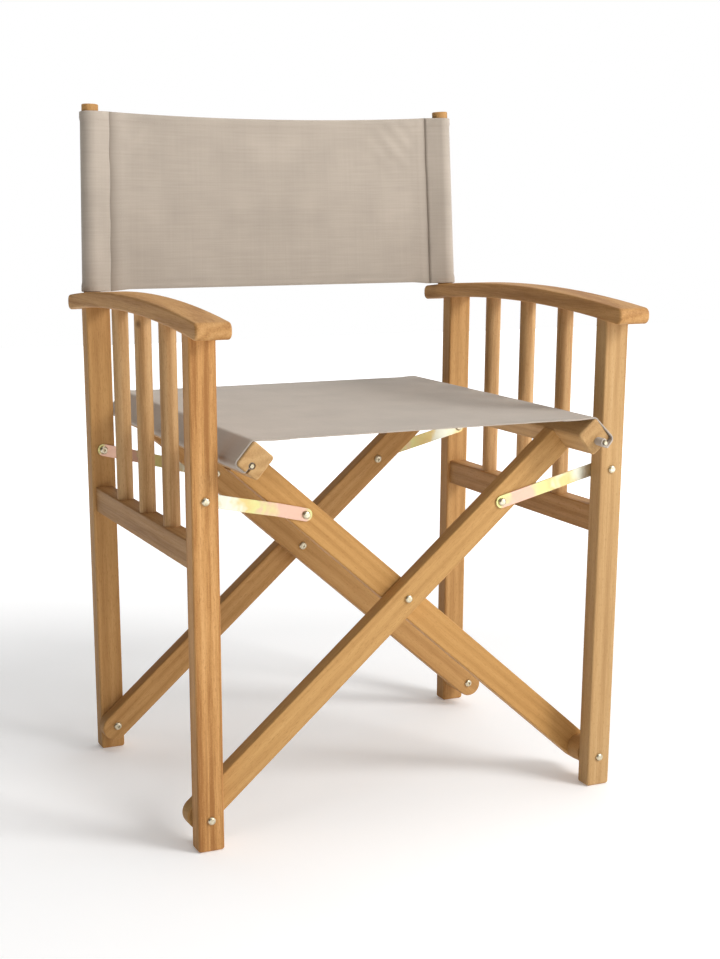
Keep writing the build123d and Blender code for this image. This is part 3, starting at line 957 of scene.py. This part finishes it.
        def wrap_point(s: float, t: float) -> Vector:
            i = row_at(s)
            share = smooth(1.0 - s / lengths[top])
            thin = smooth((s - lengths[top]) / (lengths[-1] - lengths[top]))
            fold = self.fold_step + (self.panel_fold - self.fold_step) * thin
            return mirror @ self.place(line[i], normals[i], t, flare * share, fold)

        wrap = ClothSheet(f"{side.word}_seat_cloth_wrap", self.thickness, self.canvas)
        piece = wrap.build(lengths, self.across(), wrap_point, self.crease)
        self.finish(piece, side, SeatPart.SIDE)
        self.declare(piece, side)

        z = line[-1].z + (self.thickness - self.panel_thickness) / 2
        fine = steps(self.crease_x + 0.004, self.crease_x - 0.004, 0.0005)
        xs = steps(self.split_x, self.crease_x + 0.006, 0.006) + fine
        xs += steps(self.crease_x - 0.006, 0.0, 0.008)
        up = Vector((0.0, 0.0, 1.0))

        def panel_point(s: float, t: float) -> Vector:
            x = self.split_x - (s - lengths[-1])
            return mirror @ self.place(Vector((x, 0.0, z)), up, t, 0.0, self.panel_fold)

        along = [lengths[-1] + self.split_x - x for x in xs]
        panel = ClothSheet(f"{side.word}_seat_cloth_panel", self.panel_thickness, self.canvas)
        piece = panel.build(along, self.across(), panel_point, self.crease)
        self.finish(piece, side, SeatPart.MIDDLE)
        self.declare(piece, side)
        self.stitches(side, line[top:])

    def stitches(self, side: Side, flat: Sequence[Vector]) -> None:
        """Sews the front and rear hems of one half.

        Args:
            side: which half.
            flat: the cloth's route from the top of the rail to the split line.
        """
        above = self.thickness / 2 - Stitcher.sunk
        ys = [sign * (self.half_depth - self.stitch_inset) for sign in (-1, 1)]
        start = flat[-1].x - Stitcher.stitch_pitch
        middle = [Vector((x, 0.0, flat[-1].z)) for x in (start, start / 2, 0.0015)]
        for row, route in ((SeatPart.SIDE, flat), (SeatPart.MIDDLE, middle)):
            lines = [
                [Vector((side.value * point.x, y, point.z + above)) for point in route]
                for y in ys
            ]
            piece = self.stitcher.rows(f"{side.word}_{row.value}_stitches", lines)
            self.finish(piece, side, row)

    def finish(self, piece: bpy.types.Object, side: Side, part: SeatPart) -> None:
        """Bakes a piece's placement into its mesh and logs the two parts that it lies between."""
        beside = f"{side.word}_seat_cloth_side"
        middle = f"{side.word}_seat_cloth_middle"
        cross = "outer_cross" if side is Side.RIGHT else "inner_cross"
        sign, z = side.value, self.hinge_z
        if part is SeatPart.SIDE:
            edges = (self.hinge_x + 0.003, self.hinge_x - 0.003)
            pair = (cross, beside)
        else:
            edges = (self.crease_x + 0.002, self.crease_x - 0.002)
            pair = (beside, middle)
        start, end = ((sign * x, 0.0, z) for x in edges)
        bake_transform(piece)
        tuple(start)
        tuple(end)
        log.info("%s bends between %s and %s", piece.name, *pair)

    def declare(self, piece: bpy.types.Object, side: Side) -> None:
        """Hides the imported parts that a piece of the seat stands in for."""
        if piece.name.endswith("wrap"):
            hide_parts(f"{side.word}_seat_hem", f"{side.word}_seat_cloth_side")
        else:
            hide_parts(f"{side.word}_seat_cloth_middle")


@dataclass
class BackCloth:
    """The canvas back: a sleeve round each upright, and a taut panel between them."""

    canvas: bpy.types.Material
    stitcher: Stitcher
    lean_in: float
    lean_back: float
    thickness: float = 0.0011
    sleeve_radius: float = 0.0127
    seam_reach: float = 0.0256
    seam_flap: float = 0.0060
    hem_width: float = 0.0130
    fold_step: float = 0.0013
    stitch_inset: float = 0.0098
    bottom: float = 0.6378
    top_at_sleeve: float = 0.8695
    top_sag: float = 0.0060
    bottom_rise: float = 0.0020
    wrinkle: float = 0.0012
    flare: float = 0.0009           # how far the sleeve's hems stand out at its ends
    flare_from: float = 0.0070      # distance from an end of the sleeve where the flare starts
    flare_run: float = 0.0050
    sleeve_hem: float = 0.6         # share of the fold's step that a hem takes inside the sleeve
    seam_wander: float = 0.0012
    upright_radius: float = 0.0110
    flap_rows: int = 2              # rows of the sheet behind the seam, before the sleeve
    # the groove that the stitches draw: distance outwards from the seam, and towards the back
    groove: tuple[tuple[float, float], ...] = (
        (0.0004, -0.0014), (-0.0003, 0.0), (-0.0010, -0.0011), (-0.0026, -0.0019),
        (-0.0060, -0.0014), (-0.0110, -0.0008), (-0.0180, -0.0003),
    )

    def __post_init__(self) -> None:
        """Reads the right upright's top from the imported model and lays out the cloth's line."""
        low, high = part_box("right_back_upright")
        self.top_height = high[2]
        self.top_x = low[0] + self.upright_radius
        self.top_y = high[1] - self.upright_radius
        self.tall = self.top_at_sleeve - self.bottom
        self.back = Vector((0.0, 1.0, -self.lean_back)).normalized()
        self.line = self.section()
        self.lengths = running(
            math.hypot(bx - ax, by - ay) for (ax, ay), (bx, by) in zip(self.line, self.line[1:])
        )
        self.row_at = row_finder(self.lengths)
        past_flap = range(self.flap_rows, len(self.line))
        self.seam_at = next(i for i in past_flap if self.line[i][0] <= -self.seam_reach)

    def axis(self, z: float) -> Vector:
        """The point of the right upright's axis at a height."""
        drop = self.top_height - z
        return Vector((self.top_x + self.lean_in * drop, self.top_y - self.lean_back * drop, z))

    def section(self) -> list[tuple[float, float]]:
        """The cloth's line across the upright, from the sewn flap to the middle of the back.

        The first number is the distance outwards from the upright's axis, the second the distance
        towards the back. The line goes behind the upright, round its outside and along its front.
        """
        r, seam = self.sleeve_radius, self.seam_reach
        gap = self.thickness + 0.0001
        tangent = math.acos(min(1.0, r / seam))
        line = [(-seam - self.seam_flap, gap), (-seam - 0.0005, gap)]
        behind = math.pi - tangent
        for turn in steps(behind, -behind, math.radians(8)):
            line.append((r * math.cos(turn), r * math.sin(turn)))
        front = line[-1]
        for share in (0.25, 0.5, 0.7, 0.84, 0.93):
            x = front[0] + (-seam - front[0]) * share
            y = front[1] * (1 - share)
            line.append((x, y - 0.0024 * share))
        line += [(-seam + out, behind) for out, behind in self.groove]
        end = -self.top_x * 1.05
        line += [(x, 0.0) for x in steps(-seam - 0.0260, end, 0.005)]
        return line

    def edges(self, x: float) -> tuple[float, float]:
        """Height of the panel's lower and upper edge at a distance from the middle."""
        share = min(1.0, abs(x) / self.top_x)
        top = self.top_at_sleeve - self.top_sag * (1 - share * share)
        low = self.bottom + self.bottom_rise * smooth((1 - share) * 8)
        return low, top

    def ripple(self, x: float, z: float) -> float:
        """How far the cloth stands off its plane: slack near the corners, and slow waves."""
        low, top = self.edges(x)
        inward = smooth((self.top_x - abs(x) - 0.03) / 0.05)
        wave = noise.noise(Vector((x * 9.0, 3.1, z * 14.0)))
        corner = math.exp(-((self.top_x - 0.05 - abs(x)) / 0.05) ** 2)
        height = math.exp(-((top - z - 0.03) / 0.035) ** 2)
        pull = math.sin((abs(x) + z) * 210.0) * inward
        return self.wrinkle * (inward * wave + 0.9 * corner * height * pull)

    def past_seam(self, i: int) -> float:
        """How far a row is on its way from the seam to the middle of the back, from 0 to 1."""
        return (i - self.seam_at) / (len(self.line) - 1 - self.seam_at)

    def on_plane(self, i: int, z: float) -> Vector:
        """The point of the mid-surface on a row of the sheet, at a height, without its hems."""
        out, behind = self.line[i]
        axis = self.axis(z)
        if i <= self.seam_at:
            return Vector((axis.x + out, axis.y, z)) + self.back * behind
        x = (axis.x + self.line[self.seam_at][0]) * (1 - self.past_seam(i))
        return Vector((x, axis.y, z)) + self.back * behind + self.back * self.ripple(x, z)

    def wobble(self, i: int, t: float, side: Side) -> Vector:
        """How far the seam wanders sideways, which is not the same on the two sides."""
        near = math.exp(-((self.lengths[i] - self.lengths[self.seam_at]) / 0.006) ** 2)
        wave = noise.noise(Vector((t * 9.0, 0.4, side.value)))
        return Vector((wave * near * self.seam_wander, 0, 0))

    def away(self, point: Vector, z: float) -> Vector:
        """The level direction from the upright's axis, at a height, out to a point."""
        axis = self.axis(z)
        return Vector((point.x - axis.x, point.y - axis.y, 0.0)).normalized()

    def place(self, s: float, t: float, side: Side) -> Vector:
        """A point of the mid-surface of the right half, with its hems folded under.

        Args:
            s: the distance along the cloth's line.
            t: the share of the height. Past 0 or 1, it goes on in metres along the hem.
            side: the side that the point is made for.

        Returns:
            The point.
        """
        i = self.row_at(s)
        sleeve = i <= self.seam_at
        low, top = self.edges(self.top_x if sleeve else self.top_x * (1 - self.past_seam(i)))
        z, sign, beyond = low + (top - low) * t, 0.0, 0.0
        if t < 0.0:
            z, sign, beyond = low, -1.0, -t
        elif t > 1.0:
            z, sign, beyond = top, 1.0, t - 1.0
        out, fold = hem_turn(beyond, self.fold_step, self.fold_step)
        z += sign * out
        point = self.on_plane(i, z) + self.wobble(i, t, side)
        if fold and sleeve and i >= self.flap_rows:
            point -= self.away(point, z) * fold * self.sleeve_hem
        elif fold:
            point += self.back * fold
        elif self.flap_rows <= i < self.seam_at - 4:
            near_end = min(z - low, top - z)
            share = smooth(1.0 - (near_end - self.flare_from) / self.flare_run)
            point += self.away(point, z) * self.flare * share
        return point

    def crease(self, s: float, t: float) -> float:
        """How much painted shade the cloth gets: a dark line in the sleeve's seam, a soft painted
        shadow beside it on the panel's side, and a little along the hems' stitches.
        """
        seam = self.lengths[self.seam_at]
        off = abs(s - seam)
        # painted shadow: a soft band beside the seam on the panel's side; the sharp peak below is
        # painted shade in the seam's groove
        soft = 0.16 * peak(off, 0.009) if s > seam else 0.0
        inset = min(t, 1.0 - t) * self.tall
        hem = 0.10 * peak(abs(inset - self.stitch_inset), 0.004)
        return max(0.55 * peak(off, 0.0022), soft, hem)

    def across(self) -> list[float]:
        """Shares of the height: close together at the hems, and their folded parts beyond."""
        ends = [inset / self.tall for inset in (0.0, 0.004, 0.007, 0.0098, 0.0125)]
        heights = ends + steps(0.018 / self.tall, 1.0 - 0.018 / self.tall, 1 / 44)
        heights += [1.0 - share for share in reversed(ends)]
        bend = self.fold_step * math.pi / 2
        hem = [bend / 3, bend * 2 / 3, bend + 0.0002, bend + self.hem_width]
        return [-b for b in reversed(hem)] + heights + [1.0 + b for b in hem]

    def half(self, side: Side) -> None:
        """Makes one half of the back, with its stitches.

        Args:
            side: which half.
        """
        mirror = side.mirror
        sheet = ClothSheet(f"{side.word}_back_cloth_sewn", self.thickness, self.canvas)
        piece = sheet.build(
            self.lengths, self.across(), lambda s, t: mirror @ self.place(s, t, side), self.crease
        )
        self.scale_map(piece)
        self.finish(piece, side)
        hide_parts(f"{side.word}_back_cloth")
        self.stitches(side)

    def scale_map(self, piece: bpy.types.Object) -> None:
        """Makes the cloth's map read in metres up the cloth too."""
        for loop in piece.data.uv_layers["cloth"].data:
            loop.uv = (loop.uv[0], loop.uv[1] * self.tall)

    def stitches(self, side: Side) -> None:
        """Sews the hems and the sleeve's seam of one half."""
        proud = -self.back * (self.thickness / 2 - Stitcher.sunk)
        rows = range(self.seam_at + 3, len(self.line))
        lines = []
        for inset, edge in ((self.stitch_inset, 0), (-self.stitch_inset, 1)):
            xs = [self.top_x * (1 - self.past_seam(i)) for i in rows]
            lines.append([self.on_plane(i, self.edges(x)[edge] + inset) for i, x in zip(rows, xs)])
        ends = (self.bottom + 0.004, self.top_at_sleeve - 0.004)
        lines.append([self.on_plane(rows[0], z) for z in steps(*ends, 0.012)])
        lines = [[side.mirror @ (point + proud) for point in line] for line in lines]
        piece = self.stitcher.rows(f"{side.word}_back_stitches", lines)
        self.finish(piece, side)

    def finish(self, piece: bpy.types.Object, side: Side) -> None:
        """Bakes a piece's placement into its mesh and logs the back that it belongs to."""
        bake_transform(piece)
        log.info("%s swings with the %s back", piece.name, side.word)


# --------------------------------------------------------------------------------------------------
# Studio
# --------------------------------------------------------------------------------------------------


@dataclass
class Studio:
    """A white floor, soft light and the camera."""

    camera_at: Point = (-0.8795, -1.9233, 0.7752)
    yaw: float = 0.427
    pitch: float = -0.251
    roll: float = -0.002
    lens: float = 40.41
    sensor: float = 24.0
    shift: tuple[float, float] = (0.0181, 0.1260)

    def build(self) -> None:
        """Sets up the floor, the lights and the camera."""
        scene = bpy.context.scene
        scene.view_settings.view_transform = "Standard"
        world = bpy.data.worlds.new("studio")
        world.use_nodes = True
        self.sky(world.node_tree)
        scene.world = world
        self.floor()
        self.light("key", (1.9, -2.3, 2.1), 1.1, 66.0)
        self.light("fill", (1.7, -2.7, 0.8), 1.2, 9.0)
        self.light("top", (-0.2, -0.2, 2.6), 1.6, 15.0)
        camera = bpy.data.cameras.new("camera")
        camera.sensor_fit = "VERTICAL"
        camera.sensor_height = self.sensor
        camera.lens = self.lens
        camera.shift_x, camera.shift_y = self.shift
        holder = bpy.data.objects.new("camera", camera)
        holder.location = self.camera_at
        holder.rotation_euler = (math.pi / 2 + self.pitch, self.roll, -self.yaw)
        scene.collection.objects.link(holder)
        scene.camera = holder

    def sky(self, tree: bpy.types.NodeTree) -> None:
        """Makes a white backdrop whose light comes mostly from the right of the chair."""
        background = tree.nodes["Background"]
        direction = tree.nodes.new("ShaderNodeTexCoord")
        apart = tree.nodes.new("ShaderNodeSeparateXYZ")
        fall = tree.nodes.new("ShaderNodeMapRange")
        ray = tree.nodes.new("ShaderNodeLightPath")
        seen = tree.nodes.new("ShaderNodeMath")
        seen.operation = "MAXIMUM"
        for name, value in (
            ("From Min", -0.45), ("From Max", 0.35), ("To Min", 0.04), ("To Max", 0.85)
        ):
            fall.inputs[name].default_value = value
        tree.links.new(direction.outputs["Generated"], apart.inputs["Vector"])
        tree.links.new(apart.outputs["X"], fall.inputs["Value"])
        tree.links.new(fall.outputs["Result"], seen.inputs[0])
        tree.links.new(ray.outputs["Is Camera Ray"], seen.inputs[1])
        tree.links.new(seen.outputs["Value"], background.inputs["Strength"])
        background.inputs["Color"].default_value = (1.0, 1.0, 1.0, 1.0)

    def floor(self) -> None:
        """Lays the floor."""
        size = 6.0
        mesh = bpy.data.meshes.new("floor")
        corners = [(-size, -size, 0), (size, -size, 0), (size, size, 0), (-size, size, 0)]
        mesh.from_pydata(corners, [], [(0, 1, 2, 3)])
        floor = bpy.data.objects.new("floor", mesh)
        bpy.context.scene.collection.objects.link(floor)
        shader = Shader("floor_paint")
        shader.set(Base_Color=(0.93, 0.93, 0.93, 1.0), Roughness=0.9)
        shader.set(Emission_Color=(1.0, 1.0, 1.0, 1.0))
        away = shader.node("ShaderNodeVectorMath", operation="LENGTH")
        shader.link(shader.object_coords(), away.inputs[0])
        glow = shader.remap(away.outputs["Value"], 0.7, 2.2, 0.16, 0.85)
        shader.link(glow, shader.surface.inputs["Emission Strength"])
        mesh.materials.append(shader.material)

    def light(self, name: str, at: Point, size: float, power: float) -> None:
        """Hangs a soft square light that points at the chair."""
        lamp = bpy.data.lights.new(name, "AREA")
        lamp.size = size
        lamp.energy = power
        holder = bpy.data.objects.new(name, lamp)
        holder.location = at
        target = Vector((0.0, 0.0, 0.45)) - Vector(at)
        holder.rotation_euler = target.to_track_quat("-Z", "Y").to_euler()
        bpy.context.scene.collection.objects.link(holder)


# --------------------------------------------------------------------------------------------------


def main() -> None:
    """Dresses the chair, makes its cloth and sets up the studio."""
    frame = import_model()
    nodes = frame["nodes"]
    slots = {part["node"]: part["material_slot"] for part in frame["record"]["subparts"]}

    joints = {joint["name"]: joint for joint in frame["joints"]}
    foot = joints["right_foot_pivot"]["pos_m"]
    cross = joints["cross_pivot"]["pos_m"]
    leg_angle = math.atan2(cross[2] - foot[2], foot[0] - cross[0])

    bolt_plate = PaleZinc().material("pale_zinc")
    canvas = Canvas().material("canvas")
    thread = SewingThread().material("sewing_thread")
    wooden = {node: nodes[node] for node, slot in slots.items() if slot == "hardwood"}
    Woodwork(OiledHardwood(), leg_angle).dress_all(wooden)
    for node, slot in slots.items():
        if slot == "zinc_strap":
            low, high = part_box(node)
            ends = (low[0], high[0]) if node == "left_front_strap" else (high[0], low[0])
            dress(nodes[node], YellowZinc().material(f"yellow_zinc_{node}", *ends))
        elif slot == "zinc_bolts":
            dress(nodes[node], bolt_plate)

    stitcher = Stitcher(thread)
    seat = SeatCloth(canvas, stitcher, leg_angle)
    back = BackCloth(canvas, stitcher, lean_in=0.036, lean_back=0.042)
    for side in Side:
        seat.half(side)
        back.half(side)
    Studio().build()

    bpy.context.view_layer.update()


if __name__ == "__main__":
    logging.basicConfig(level=logging.INFO, format="%(name)s: %(message)s")
    main()
